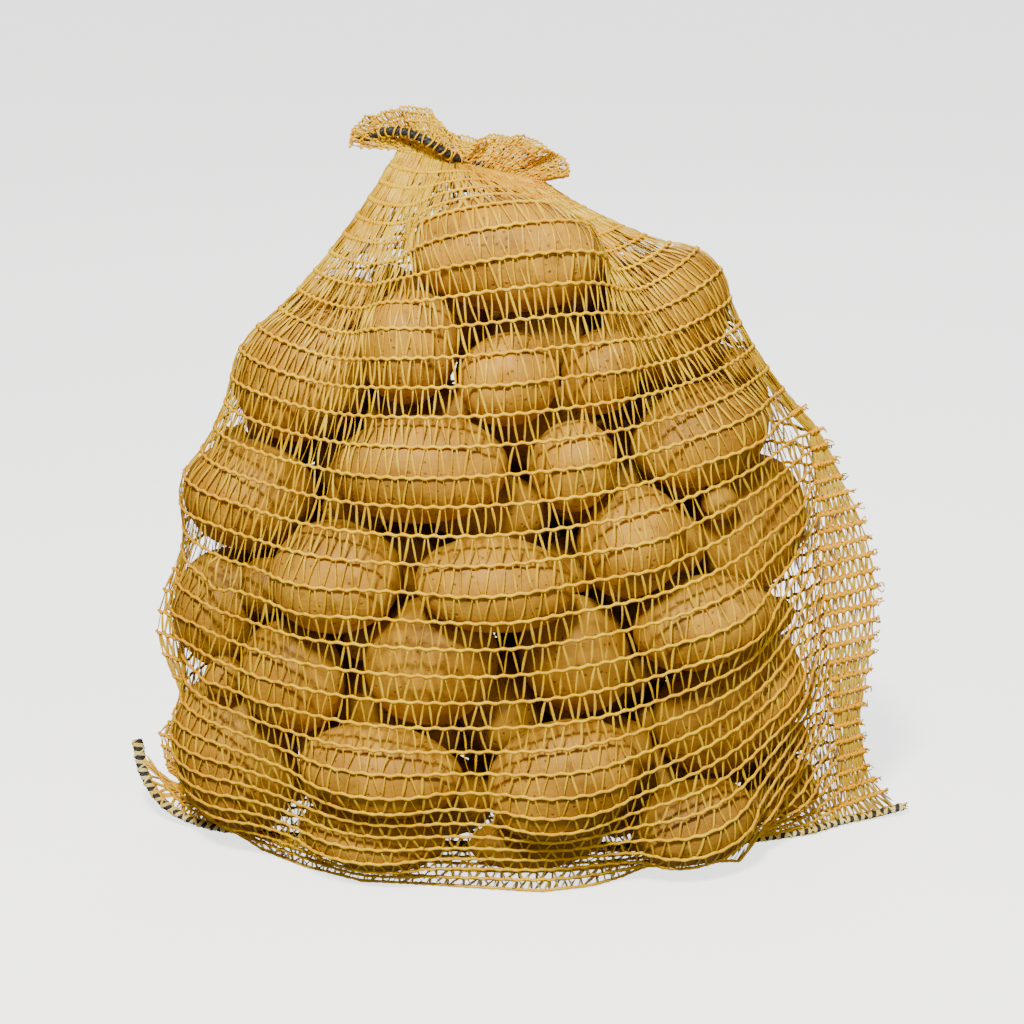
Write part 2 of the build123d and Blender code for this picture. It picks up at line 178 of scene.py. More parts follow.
class Shader:
    """One material and the nodes in it."""

    def __init__(self, name: str) -> None:
        """Starts an empty material.

        Args:
            name: the material's name.
        """
        self.material = bpy.data.materials.new(name)
        self.material.use_nodes = True
        self.tree = self.material.node_tree
        self.surface = self.tree.nodes["Principled BSDF"]
        self.place = self.node("ShaderNodeTexCoord", {}, {}, "Object")

    def node(self, kind: str, settings: dict[str, Any], inputs: dict[Any, Any], output: Any = 0) -> Term:
        """Adds a node.

        Args:
            kind: the node's type.
            settings: the node's own settings, set first.
            inputs: values or terms, by socket.
            output: the socket that the term stands for.

        Returns:
            The term of that output.
        """
        made = self.tree.nodes.new(kind)
        for key, value in settings.items():
            setattr(made, key, value)
        for key, value in inputs.items():
            self.feed(made.inputs[key], value)
        return Term(self, made.outputs[output])

    def feed(self, socket: bpy.types.NodeSocket, value: Any) -> None:
        """Gives a socket a constant or a link.

        Args:
            socket: the input.
            value: a number, a colour or a term.
        """
        if isinstance(value, Term):
            self.tree.links.new(value.socket, socket)
        else:
            socket.default_value = value

    def noise(self, scale: float, detail: float = 3.0, stretch: Point = (1, 1, 1)) -> Term:
        """Adds a noise on Object coordinates.

        Args:
            scale: repeats to the metre.
            detail: the noise's detail.
            stretch: a scale for each axis.

        Returns:
            The noise, from 0 to 1.
        """
        place = self.place
        if stretch != (1, 1, 1):
            place = self.node("ShaderNodeMapping", {}, {"Vector": self.place, "Scale": stretch})
        return self.node("ShaderNodeTexNoise", {}, {"Vector": place, "Scale": scale, "Detail": detail})

    def mix(self, share: Any, first: Any, second: Any) -> Term:
        """Mixes two colours.

        Args:
            share: how much of the second colour shows.
            first: the first colour.
            second: the second colour.

        Returns:
            The mixed colour.
        """
        return self.node("ShaderNodeMix", {"data_type": "RGBA"}, {0: share, 6: first, 7: second}, 2)

    def relief(self, height: Term, depth: float, strength: float = 1.0) -> Term:
        """Adds a Bump node.

        Args:
            height: the pattern.
            depth: its depth in metres.
            strength: the node's strength.

        Returns:
            The bent normal.
        """
        return self.node("ShaderNodeBump", {}, {"Height": height, "Distance": depth, "Strength": strength})

    def finish(self, **sockets: Any) -> bpy.types.Material:
        """Feeds the surface's sockets.

        Args:
            sockets: values or terms by socket name, with _ for a space.

        Returns:
            The material.
        """
        for key, value in sockets.items():
            self.feed(self.surface.inputs[key.replace("_", " ")], value)
        return self.material


@dataclass(frozen=True)
class PotatoSkin:
    """Washed potato skin: tan, blotched, with pores and traces of earth."""

    light: Colour = (0.56, 0.29, 0.024, 1)
    tan: Colour = (0.38, 0.178, 0.009, 1)
    brown: Colour = (0.165, 0.066, 0.004, 1)
    earth: Colour = (0.055, 0.021, 0.003, 1)

    def make(self) -> bpy.types.Material:
        """Builds the material.

        Returns:
            The material.
        """
        s = Shader("potato_skin")
        broad = s.noise(22.0, 2.0)
        blotch = s.noise(95.0, 4.0)
        grain = s.noise(520.0, 3.0)
        pores = s.node("ShaderNodeTexVoronoi", {}, {"Vector": s.place, "Scale": 230.0})
        pore = 1.0 - pores.above(0.10, 0.12)
        netting = s.noise(260.0, 5.0, (1.0, 1.0, 1.8))
        colour = s.mix(broad.above(0.36, 0.3), self.tan, self.light)
        colour = s.mix(s.noise(9.0, 1.0).above(0.45, 0.25) * 0.5, colour, self.brown)
        colour = s.mix(blotch.above(0.52, 0.22) * 0.55, colour, self.brown)
        colour = s.mix(netting.above(0.57, 0.1) * 0.35, colour, self.light)
        colour = s.mix(pore * 0.6, colour, self.earth)
        colour = s.mix(s.noise(48.0, 6.0).above(0.60, 0.16) * 0.55, colour, self.earth)
        height = grain * 0.5 + netting * 0.5 - pore * 0.6 + blotch * 0.6
        return s.finish(
            Base_Color=colour,
            Roughness=0.50 + grain * 0.16,
            Normal=s.relief(height, 0.0007, 0.8),
            Specular_IOR_Level=0.25,
        )


@dataclass(frozen=True)
class Yarn:
    """Knitted polyethylene yarn; edge adds a painted shade towards the bag's left and right sides."""

    name: str
    base: Colour
    bright: Colour
    shade: Colour
    roughness: float
    opacity: float = 1.0
    glint: float = 0.5
    # edge is painted shade: a darker, more orange colour that the yarn takes towards the bag's left and right
    # sides.
    edge: Colour | None = None
    side_shade_start: float = 0.10
    side_shade_width: float = 0.07
    flush: Point | None = None
    flush_reach: float = 20 * MM
    flush_fade: float = 10 * MM
    flush_tone: Colour = (0.80, 0.28, 0.0, 1)

    def make(self) -> bpy.types.Material:
        """Builds the material.

        Returns:
            The material.
        """
        s = Shader(self.name)
        run = s.noise(70.0, 2.0)
        fibre = s.noise(900.0, 2.0)
        colour = s.mix(run.above(0.38, 0.3), self.base, self.bright)
        # Painted shade: the colour turns darker and more orange as X grows away from the bag's middle, towards its
        # left and right sides.
        if self.edge:
            across = s.node("ShaderNodeSeparateXYZ", {}, {0: s.place}, 0)
            away = s.node("ShaderNodeMath", {"operation": "ABSOLUTE"}, {0: across})
            colour = s.mix(away.above(self.side_shade_start, self.side_shade_width) * 0.7, colour, self.edge)
        if self.flush:
            settings = {"operation": "DISTANCE"}
            far = s.node("ShaderNodeVectorMath", settings, {0: s.place, 1: self.flush}, "Value")
            near = 1.0 - far.above(self.flush_reach, self.flush_fade)
            colour = s.mix(near * 0.85, colour, self.flush_tone)
        colour = s.mix(fibre.above(0.5, 0.2) * 0.4, colour, self.shade)
        s.surface.inputs["Alpha"].default_value = self.opacity
        return s.finish(
            Base_Color=colour,
            Roughness=self.roughness + fibre * 0.2,
            Normal=s.relief(fibre, 0.0002, 0.7),
            Specular_IOR_Level=self.glint,
        )


@dataclass(frozen=True)
class Paper:
    """The pale floor."""

    tone: Colour = (0.93, 0.93, 0.925, 1)
    glow: float = 2.2

    def make(self) -> bpy.types.Material:
        """Builds the material.

        Returns:
            The material.
        """
        s = Shader("paper")
        return s.finish(
            Base_Color=self.tone,
            Roughness=0.75 + s.noise(9.0) * 0.1,
            Emission_Color=self.tone,
            Emission_Strength=self.glow,
        )


def yarn(*values: Any, **named: Any) -> Any:
    """Gives a palette's field that makes one yarn.

    Args:
        values: the yarn's own values, in order.
        named: its other values, by name.

    Returns:
        The field.
    """
    return field(default_factory=lambda: Yarn(*values, **named).make())


@dataclass
class Palette:
    """All the finishes, made once."""

    skin: bpy.types.Material = field(default_factory=lambda: PotatoSkin().make())
    # The chain's edge colour is the painted shade towards the bag's left and right sides.
    chain: bpy.types.Material = yarn(
        "chain_yarn", (0.78, 0.42, 0.0, 1), (0.90, 0.57, 0.0, 1), (0.60, 0.27, 0.0, 1), 0.42, glint=0.2,
        edge=(0.74, 0.33, 0.0, 1), flush=(0.004, -0.012, 0.347),
    )
    film: bpy.types.Material = yarn(
        "film_tape", (0.78, 0.43, 0.0, 1), (0.92, 0.62, 0.02, 1), (0.54, 0.26, 0.0, 1), 0.24, 0.82, 0.4
    )
    slack: bpy.types.Material = yarn(
        "slack_yarn", (0.74, 0.36, 0.0, 1), (0.84, 0.43, 0.0, 1), (0.58, 0.24, 0.0, 1), 0.5, glint=0.2
    )
    pale_film: bpy.types.Material = yarn(
        "pale_film", (0.82, 0.50, 0.01, 1), (0.92, 0.66, 0.05, 1), (0.62, 0.34, 0.0, 1), 0.25, 0.8, 0.6
    )
    cord: bpy.types.Material = yarn(
        "black_cord", (0.012, 0.013, 0.012, 1), (0.03, 0.032, 0.028, 1), (0.004, 0.004, 0.004, 1), 0.5
    )
    thread: bpy.types.Material = yarn(
        "pale_thread", (0.78, 0.58, 0.12, 1), (0.92, 0.78, 0.30, 1), (0.55, 0.36, 0.04, 1), 0.45
    )


# ---------------------------------------------------------------- meshes


def link(mesh: bpy.types.Mesh, name: str, *materials: bpy.types.Material) -> bpy.types.Object:
    """Puts a mesh in the scene as an object at the origin.

    Args:
        mesh: the finished mesh.
        name: the object's name.
        materials: its materials, in slot order.

    Returns:
        The object.
    """
    mesh.name = name
    for material in materials:
        mesh.materials.append(material)
    made = bpy.data.objects.new(name, mesh)
    bpy.context.scene.collection.objects.link(made)
    return made


def vertices(mesh: bpy.types.Mesh) -> np.ndarray:
    """Reads a mesh's vertices.

    Args:
        mesh: the mesh.

    Returns:
        One row of X, Y, Z for each vertex.
    """
    flat = np.empty(len(mesh.vertices) * 3)
    mesh.vertices.foreach_get("co", flat)
    return flat.reshape(-1, 3)


def unit(vectors: np.ndarray) -> np.ndarray:
    """Scales vectors to length 1.

    Args:
        vectors: one vector, or any grid of them.

    Returns:
        The scaled vectors.
    """
    return vectors / np.maximum(np.linalg.norm(vectors, axis=-1, keepdims=True), 1e-9)


def arc_length(line: np.ndarray) -> np.ndarray:
    """Measures along a line.

    Args:
        line: the line's points.

    Returns:
        The length from its start to each point.
    """
    return np.r_[0, np.cumsum(np.linalg.norm(np.diff(line, axis=0), axis=1))]


def curve_between(p0: np.ndarray, p1: np.ndarray, p2: np.ndarray, p3: np.ndarray, t: np.ndarray) -> np.ndarray:
    """Finds points on the smooth curve between the middle two of four knots.

    Args:
        p0: the knot before the stretch.
        p1: the knot that it starts at.
        p2: the knot that it ends at.
        p3: the knot after it.
        t: how far along the points are, from 0 to 1.

    Returns:
        The points.
    """
    return p1 + 0.5 * t * (p2 - p0 + t * (2 * p0 - 5 * p1 + 4 * p2 - p3 + t * (3 * (p1 - p2) + p3 - p0)))


def to_mesh(bm: bmesh.types.BMesh, name: str) -> bpy.types.Mesh:
    """Writes a bmesh to a new mesh and frees it.

    Args:
        bm: the finished bmesh.
        name: the mesh's name.

    Returns:
        The mesh.
    """
    mesh = bpy.data.meshes.new(name)
    bm.to_mesh(mesh)
    bm.free()
    return mesh


def tubes(
    lines: Iterable[np.ndarray], radius: float, sides: int = 1, swell: Iterable[np.ndarray] | None = None
) -> bpy.types.Mesh:
    """Gives lines a round section.

    Args:
        lines: the points of each line.
        radius: the section's radius.
        sides: the bevel's resolution, where 1 is a hexagon.
        swell: a share of the radius at each point.

    Returns:
        The mesh of all the tubes, with closed ends.
    """
    curve = bpy.data.curves.new("strand", "CURVE")
    curve.dimensions = "3D"
    curve.bevel_depth = radius
    curve.bevel_resolution = sides
    curve.use_fill_caps = True
    lines = list(lines)
    swells = list(swell) if swell is not None else [np.ones(len(line)) for line in lines]
    for line, shares in zip(lines, swells):
        spline = curve.splines.new("POLY")
        spline.points.add(len(line) - 1)
        spline.points.foreach_set("co", np.c_[line, np.ones(len(line))].ravel())
        spline.points.foreach_set("radius", np.asarray(shares, float))
        spline.use_smooth = True
    holder = bpy.data.objects.new("strand", curve)
    bpy.context.scene.collection.objects.link(holder)
    mesh = bpy.data.meshes.new_from_object(holder)
    bpy.data.objects.remove(holder)
    bm = bmesh.new()
    bm.from_mesh(mesh)
    bmesh.ops.remove_doubles(bm, verts=bm.verts[:], dist=WELD)
    bm.to_mesh(mesh)
    bm.free()
    return mesh


def ribbons(middles: np.ndarray, halves: np.ndarray, thickness: float) -> bpy.types.Mesh:
    """Makes flat tapes.

    Args:
        middles: the middle line of each tape, as tapes × points × 3.
        halves: the vector from the middle line to one edge, in the same shape.
        thickness: the film's thickness.

    Returns:
        The mesh of all the tapes, as closed strips.
    """
    count, points = middles.shape[:2]
    bm = bmesh.new()
    bmesh.ops.create_grid(bm, x_segments=2 * count - 1, y_segments=points - 1, size=1)
    bm.faces.ensure_lookup_table()
    across = 2 * count - 1
    between = [face for i, face in enumerate(bm.faces) if (i % across) % 2]
    bmesh.ops.delete(bm, geom=between, context="FACES")
    edges = np.stack([middles - halves, middles + halves], axis=1)
    places = edges.transpose(2, 0, 1, 3).reshape(-1, 3)
    for vertex, place in zip(bm.verts, places.tolist()):
        vertex.co = place
    bm.normal_update()
    bmesh.ops.solidify(bm, geom=bm.faces[:], thickness=thickness)
    return to_mesh(bm, "tapes")


def join(parts: Sequence[tuple[bpy.types.Mesh, int]]) -> bpy.types.Mesh:
    """Joins meshes into one, shaded smooth.

    Args:
        parts: each mesh and the number of its material.

    Returns:
        The joined mesh.
    """
    bm = bmesh.new()
    numbers: list[int] = []
    for mesh, number in parts:
        bm.from_mesh(mesh)
        numbers += [number] * (len(bm.faces) - len(numbers))
        bpy.data.meshes.remove(mesh)
    joined = to_mesh(bm, "joined")
    joined.polygons.foreach_set("material_index", numbers)
    joined.polygons.foreach_set("use_smooth", [True] * len(numbers))
    return joined


# ---------------------------------------------------------------- potatoes


@dataclass
class Ellipsoid:
    """A potato's plain shape: its middle, its half axes and how it lies."""

    middle: np.ndarray
    radii: np.ndarray
    turn: np.ndarray

    @classmethod
    def fit(cls, points: np.ndarray) -> "Ellipsoid":
        """Finds the ellipsoid through a CAD node's points.

        Args:
            points: points on its surface.

        Returns:
            The ellipsoid.
        """
        centre = points.mean(0)
        x, y, z = ((points - centre) / FIT_SCALE).T
        terms = np.c_[x * x, y * y, z * z, 2 * x * y, 2 * x * z, 2 * y * z, 2 * x, 2 * y, 2 * z]
        a = np.linalg.lstsq(terms, np.ones(len(x)), rcond=None)[0]
        form = np.array([[a[0], a[3], a[4]], [a[3], a[1], a[5]], [a[4], a[5], a[2]]])
        middle = -np.linalg.solve(form, a[6:9])
        level = 1 + middle @ form @ middle
        values, turn = np.linalg.eigh(form / level)
        return cls(centre + middle * FIT_SCALE, FIT_SCALE / np.sqrt(values), turn)

    def push(self, points: np.ndarray, gap: float) -> None:
        """Moves points that lie inside out to a gap from the surface, in place.

        Args:
            points: rows of X, Y, Z.
            gap: how far outside they end.
        """
        radii = self.radii + gap
        near = np.flatnonzero(np.abs(points - self.middle).max(1) < radii.max())
        if not len(near):
            return
        local = (points[near] - self.middle) @ self.turn
        for _ in range(2):
            depth = np.sqrt(((local / radii) ** 2).sum(1))
            inside = depth < 1
            if not inside.any():
                break
            depth = np.maximum(depth, 0.4)
            slope = local / radii**2 / depth[:, None]
            step = (1 - depth) / (slope**2).sum(1)
            local[inside] += (step[:, None] * slope)[inside]
        points[near] = local @ self.turn.T + self.middle


@dataclass
class Potatoes:
    """The potatoes, each a lumpy icosphere in its CAD solid's place."""

    fineness: int = 4
    core_fineness: int = 3
    lump: float = 0.045
    lump_shift: float = 0.45
    lump_waves: tuple[tuple[float, float], ...] = ((1.7, 0.55), (2.9, 0.30), (5.2, 0.15))
    filler_fineness: int = 2
    filler_count: int = 150
    filler_tries: int = 24000
    filler_floor: float = 13 * MM
    filler_swell: float = 1.06
    filler_front: float = -40 * MM
    near_net: float = 22 * MM
    filler_depth: float = 4 * MM
    filler_top: float = 290 * MM
    filler_smallest: float = 7 * MM
    filler_largest: float = 26 * MM
    eyes: int = 7
    eye_depth: float = 1.5 * MM
    eye_width: float = 0.0042
    rim_place: float = 0.008
    rim_width: float = 0.004
    rim_height: float = 0.35
    seed: int = 11
    shapes: list[Ellipsoid] = field(default_factory=list)

    def read(self) -> None:
        """Fits an ellipsoid to each outer potato."""
        self.names = sorted(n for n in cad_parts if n.startswith("potato_"))
        self.shapes = [Ellipsoid.fit(vertices(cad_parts[n].data)) for n in self.names]

    def core(self) -> list[Ellipsoid]:
        """Fits an ellipsoid to each solid of the core.

        Returns:
            The ellipsoids.
        """
        bm = bmesh.new()
        bm.from_mesh(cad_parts["inner_potatoes"].data)
        bmesh.ops.remove_doubles(bm, verts=bm.verts[:], dist=WELD)
        left, found = set(bm.verts), []
        while left:
            stack, group = [left.pop()], []
            while stack:
                vertex = stack.pop()
                group.append(tuple(vertex.co))
                for edge in vertex.link_edges:
                    other = edge.other_vert(vertex)
                    if other in left:
                        left.remove(other)
                        stack.append(other)
            found.append(group)
        bm.free()
        return [Ellipsoid.fit(np.array(sorted(group))) for group in sorted(found, key=min)]

    def wall_gap(self, points: np.ndarray) -> np.ndarray:
        """Estimates how far points are inside the netting.

        Args:
            points: one point, or rows of X, Y, Z.

        Returns:
            The distances.
        """
        low, high = (np.array(corner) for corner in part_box("net_sack"))
        table = np.array(SACK_OUTLINE)
        level = (points[..., 2] - low[2]) / (high[2] - low[2])
        wide, deep, x, y = (np.interp(level, table[:, 0], table[:, i]) for i in range(1, 5))
        wide, deep = wide * (high[0] - low[0]) / 2, deep * (high[1] - low[1]) / 2
        out = np.hypot((points[..., 0] - x * MM) / wide, (points[..., 1] - y * MM) / deep)
        return (1 - out) * np.minimum(wide, deep)

    def fillers(self, shapes: list[Ellipsoid]) -> list[Ellipsoid]:
        """Finds room for small potatoes lodged between the others.

        Args:
            shapes: the potatoes that are there.

        Returns:
            The small ones.
        """
        rng = np.random.default_rng(self.seed)
        low, high = (np.array(corner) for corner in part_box("net_sack"))
        points = rng.uniform(low, high, (self.filler_tries, 3))
        wall = self.wall_gap(points) - self.filler_depth
        free = (points[:, 1] > self.filler_front) & (wall > 0) & (points[:, 2] < self.filler_top)
        points, wall = points[free], wall[free]
        room = np.minimum(np.minimum(points[:, 2] - self.filler_floor, wall), self.filler_largest)
        for shape in shapes:
            local = (points - shape.middle) @ shape.turn
            depth = np.sqrt(((local / shape.radii) ** 2).sum(1))
            slope = np.linalg.norm(local / shape.radii**2, axis=1) / depth
            room = np.minimum(room, (depth - 1) / slope)
        found: list[Ellipsoid] = []
        while len(found) < self.filler_count:
            best = int(room.argmax())
            size, middle = float(room[best]), points[best]
            if size < self.filler_smallest:
                break
            found.append(Ellipsoid(middle.copy(), np.full(3, size * self.filler_swell), np.eye(3)))
            room = np.minimum(room, np.linalg.norm(points - middle, axis=1) - size)
        return found

    def mesh(self, shape: Ellipsoid, fineness: int, seed: int) -> bpy.types.Mesh:
        """Builds one potato.

        Args:
            shape: its plain ellipsoid.
            fineness: the icosphere's subdivisions.
            seed: the seed of its lumps and eyes.

        Returns:
            The mesh in its place.
        """
        bm = bmesh.new()
        bmesh.ops.create_icosphere(bm, subdivisions=fineness, radius=1)
        mesh = to_mesh(bm, "potato")
        rng = np.random.default_rng(self.seed + seed)
        ball = unit(vertices(mesh))
        swell = np.zeros(len(ball))
        for frequency, share in self.lump_waves:
            for direction in unit(rng.normal(size=(3, 3))):
                phase = rng.uniform(0, 6.28)
                swell += share / 3 * np.sin(frequency * (ball @ direction) * math.pi / 2 + phase)
        swell = self.lump * (swell - self.lump_shift)
        local = ball * shape.radii * (1 + swell)[:, None]
        for direction in unit(rng.normal(size=(self.eyes, 3))):
            spot = direction * shape.radii
            away = np.linalg.norm((local - spot) * (1, 1, 1.5), axis=1)
            rim = np.exp(-(((away - self.rim_place) / self.rim_width) ** 2))
            dent = np.exp(-((away / self.eye_width) ** 2)) - self.rim_height * rim
            local -= unit(local) * (dent * self.eye_depth * rng.uniform(0.5, 1.1))[:, None]
        mesh.vertices.foreach_set("co", (local @ shape.turn.T + shape.middle).ravel())
        mesh.polygons.foreach_set("use_smooth", [True] * len(mesh.polygons))
        mesh.update()
        if np.linalg.det(shape.turn) < 0:
            mesh.flip_normals()
        return mesh

    def build(self, palette: Palette) -> None:
        """Builds all the potatoes.

        Args:
            palette: the finishes.
        """
        for i, (name, shape) in enumerate(zip(self.names, list(self.shapes))):
            piece = link(self.mesh(shape, self.fineness, i), f"tuber_{name[-2:]}", palette.skin)
            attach(piece, "sack")
            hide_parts(name)
        self.inside = self.core()
        self.small = self.fillers(self.shapes + self.inside)
        self.shapes += self.inside + [s for s in self.small if self.wall_gap(s.middle) < self.near_net]

    def build_core(self, net: "Net", palette: Palette) -> None:
        """Builds the potatoes inside, and the small ones that the netting holds.

        Args:
            net: the draped net.
            palette: the finishes.
        """
        core = [(self.mesh(s, self.core_fineness, 100 + i), 0) for i, s in enumerate(self.inside)]
        core += [
            (self.mesh(s, self.filler_fineness, 200 + i), 0) for i, s in enumerate(self.small) if net.holds(s)
        ]
        piece = link(join(core), "core_tubers", palette.skin)
        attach(piece, "sack")
        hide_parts("inner_potatoes")
        LOG.info("%d potatoes and %d in the core", len(self.names), len(core))


# ---------------------------------------------------------------- the net


@dataclass
class Net:
    """The knitted tube as a grid of stitches, drawn tight over the potatoes."""

    stitches: int = 124
    base_rows: int = 6
    side_rows: int = 34
    flap_stitches: int = 7
    fold_stitches: int = 4
    layer: float = 1.3 * MM
    fold_place: float = 7 * MM
    rounds: int = 420
    ease: float = 0.85
    stitch_pull: float = 7 * MM
    base_held: tuple[float, float] = (0.14, 0.86)
    gap: float = 0.9 * MM
    outline: tuple[tuple[float, ...], ...] = SACK_OUTLINE
    flap_edge: tuple[tuple[float, float], ...] = (
        (0, 30), (13, 20.5), (27.5, 15), (55, 12.5), (97, 23), (124, 27), (153, 24.5), (174, 19), (200, 10),
        (221, 3),
    )
    left_edge: tuple[tuple[float, float], ...] = (
        (0, 6), (26, 9), (47, 14), (60, 5), (68, 1), (78, 4), (86, 9), (100, 15), (122, 13), (150, 3),
    )
    floor_edge: tuple[tuple[float, float], ...] = (
        (-178, 4), (-165, -2), (-137, -18), (-100, -50), (-70, -67), (-35, -71), (20, -79), (45, -73), (60, -64),
        (76, -49), (100, -46), (130, -42), (160, -29), (178, -5),
    )
    foot: float = 1.3 * MM
    flap_gap: float = 9 * MM
    left_rise: float = 25 * MM
    seam: tuple[Point, ...] = (
        (-194, 21, 42), (-189, 14, 23), (-174, 5, 7.9), (-144.3, -6, 1.9), (-98.6, -17, 1.9), (-45.8, -24, 1.9),
        (15.8, -27, 1.9), (75.7, -26, 1.9), (126.7, -20, 1.9), (164, -8, 1.9), (184, 5.5, 1.9), (202, 13, 2.9),
        (216, 17, 4.9),
    )
    hinge_foot: Point = (183, 7, 5)
    hinge_lean: float = math.radians(6.5)
    hinge_half: float = 7 * MM
    mouth: Point = (-22, 10, 358)
    mouth_rise: float = math.radians(13)
    mouth_reach: tuple[float, float] = (44, -28)
    hem_half: float = 6 * MM
    ruffle_edge: tuple[tuple[float, float], ...] = (
        (50, 0), (57, 4), (54, 10), (41, 15), (29, 17), (17, 14), (8, 10), (0, 9), (-8, 12), (-17, 18.5),
        (-24, 19), (-31, 17), (-40, 13), (-48, 7), (-53, 0), (-51, -6),
    )
    ruffle_rows: int = 5
    ruffle_wave: float = 3.4 * MM
    hem_drop: float = 1.5 * MM

    def __post_init__(self) -> None:
        """Works out the sizes that follow from the others."""
        low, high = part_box("net_sack")
        self.width, self.depth, self.height = high - low
        self.top = self.base_rows + self.side_rows
        self.half = self.stitches // 2

    def spacing(self) -> np.ndarray:
        """Gives the wanted distance from each row to the next.

        Returns:
            One length for each gap between rows, up to the hem.
        """
        share = np.linspace(0, 1, self.side_rows)
        side = np.interp(share, (0, 0.2, 0.38, 0.75, 1), (8, 9.5, 14, 14, 11)) * MM
        return np.r_[np.full(self.base_rows, 20 * MM), side]

    def ring(self, level: float) -> tuple[float, float, float, float]:
        """Gives the sack's ellipse at a level.

        Args:
            level: the share of the sack's height.

        Returns:
            Half width, half depth, and the middle's X and Y.
        """
        table = np.array(self.outline)
        a, b, x, y = (np.interp(level, table[:, 0], table[:, i]) for i in range(1, 5))
        return a * self.width / 2, b * self.depth / 2, x * MM, y * MM

    def hinge_slab(self) -> tuple[np.ndarray, np.ndarray]:
        """Finds where the netting bends at the flap's hinge.

        Returns:
            The two points between which it bends.
        """
        lean = np.array((math.cos(self.hinge_lean), 0, math.sin(self.hinge_lean)))
        foot = np.array(self.hinge_foot) * MM
        return foot - lean * self.hinge_half, foot + lean * self.hinge_half

    def along_mouth(self, along: np.ndarray, up: Any, across: Any) -> np.ndarray:
        """Gives points near the hem.

        Args:
            along: distance to the right of the mouth's middle.
            up: distance above the hem's line.
            across: Y from the hem's line.

        Returns:
            The points.
        """
        right = np.array((math.cos(self.mouth_rise), 0, -math.sin(self.mouth_rise)))
        above = np.array((math.sin(self.mouth_rise), 0, math.cos(self.mouth_rise)))
        along = np.asarray(along)[..., None]
        return (
            np.array(self.mouth) * MM + along * right
            + np.asarray(up)[..., None] * above + np.asarray(across)[..., None] * np.array((0, 1, 0))
        )

    def mouth_places(self) -> tuple[np.ndarray, np.ndarray]:
        """Shares the stitches out along the hem, closer together at its left end.

        Returns:
            Each column's distance to the right of the middle, and -1 in front or 1 behind.
        """
        k = np.arange(self.stitches)
        from_right = np.minimum(k, self.stitches - k) / self.half
        side = np.where(k <= self.half, -1.0, 1.0)
        right, left = self.mouth_reach
        return (right + (left - right) * (1 - (1 - from_right) ** 1.3)) * MM, side

    def start(self) -> tuple[np.ndarray, np.ndarray]:
        """Lays the stitches out around the sack.

        Returns:
            The grid of stitches, and which of them are held where they are.
        """
        grid = np.zeros((self.top + 1, self.stitches, 3))
        held = np.zeros(grid.shape[:2], bool)
        k = np.arange(self.stitches)
        signed = np.where(k > self.half, k - self.stitches, k)
        side = np.where(signed >= 0, -1.0, 1.0)
        flap, fold = self.flap_stitches, self.fold_stitches
        share = np.clip((np.abs(signed) - flap) / (self.half - flap - fold), 0, 1)
        climb = np.r_[0, np.cumsum(self.spacing()[self.base_rows:])]
        climb /= climb[-1]
        table = np.array(self.outline)
        steps = np.hypot(np.diff(table[:, 0]) * self.height, np.diff(table[:, 1]) * self.width / 2)
        arc = np.r_[0, np.cumsum(steps)]
        levels = np.interp(climb * arc[-1], arc, table[:, 0])
        self.front_heights = levels * self.height + self.foot
        angle = math.pi * share
        seam = np.array(self.seam) * MM
        walk = np.interp(share, (0, 1), (10, 2))
        walk = np.where(np.abs(signed) < flap, 12 - 2 * np.abs(signed) / flap, walk)
        walk = np.where(self.half - np.abs(signed) < fold, 2 * (self.half - np.abs(signed)) / fold, walk)
        line = np.stack([np.interp(walk, range(len(seam)), seam[:, i]) for i in range(3)], axis=1)
        edge = np.array(self.floor_edge) * MM
        for row in range(self.top + 1):
            level = levels[max(0, row - self.base_rows)]
            a, b, x, y = self.ring(level)
            z = np.full(self.stitches, level * self.height + self.foot)
            ring = np.c_[x + a * np.cos(angle), y + side * b * np.sin(angle), z]
            if row <= self.base_rows:
                reach = np.interp(ring[:, 0], edge[:, 0], edge[:, 1])
                ring[:, 1] = np.where(side < 0, reach, ring[:, 1])
                inner = row / self.base_rows
                self.hold_folds(ring, np.zeros(self.stitches, bool), signed, side, self.base_rows)
                ring = line * (1 - inner) + ring * inner
            grid[row] = ring
            if row:
                self.hold_folds(grid[row], held[row], signed, side, row)
        held[0] = True
        first, last = self.base_held
        held[self.base_rows] |= (share > first) & (share < last)
        along, side = self.mouth_places()
        grid[self.top] = self.along_mouth(along, -self.hem_drop, side * self.hem_half)
        held[self.top] = True
        return grid, held

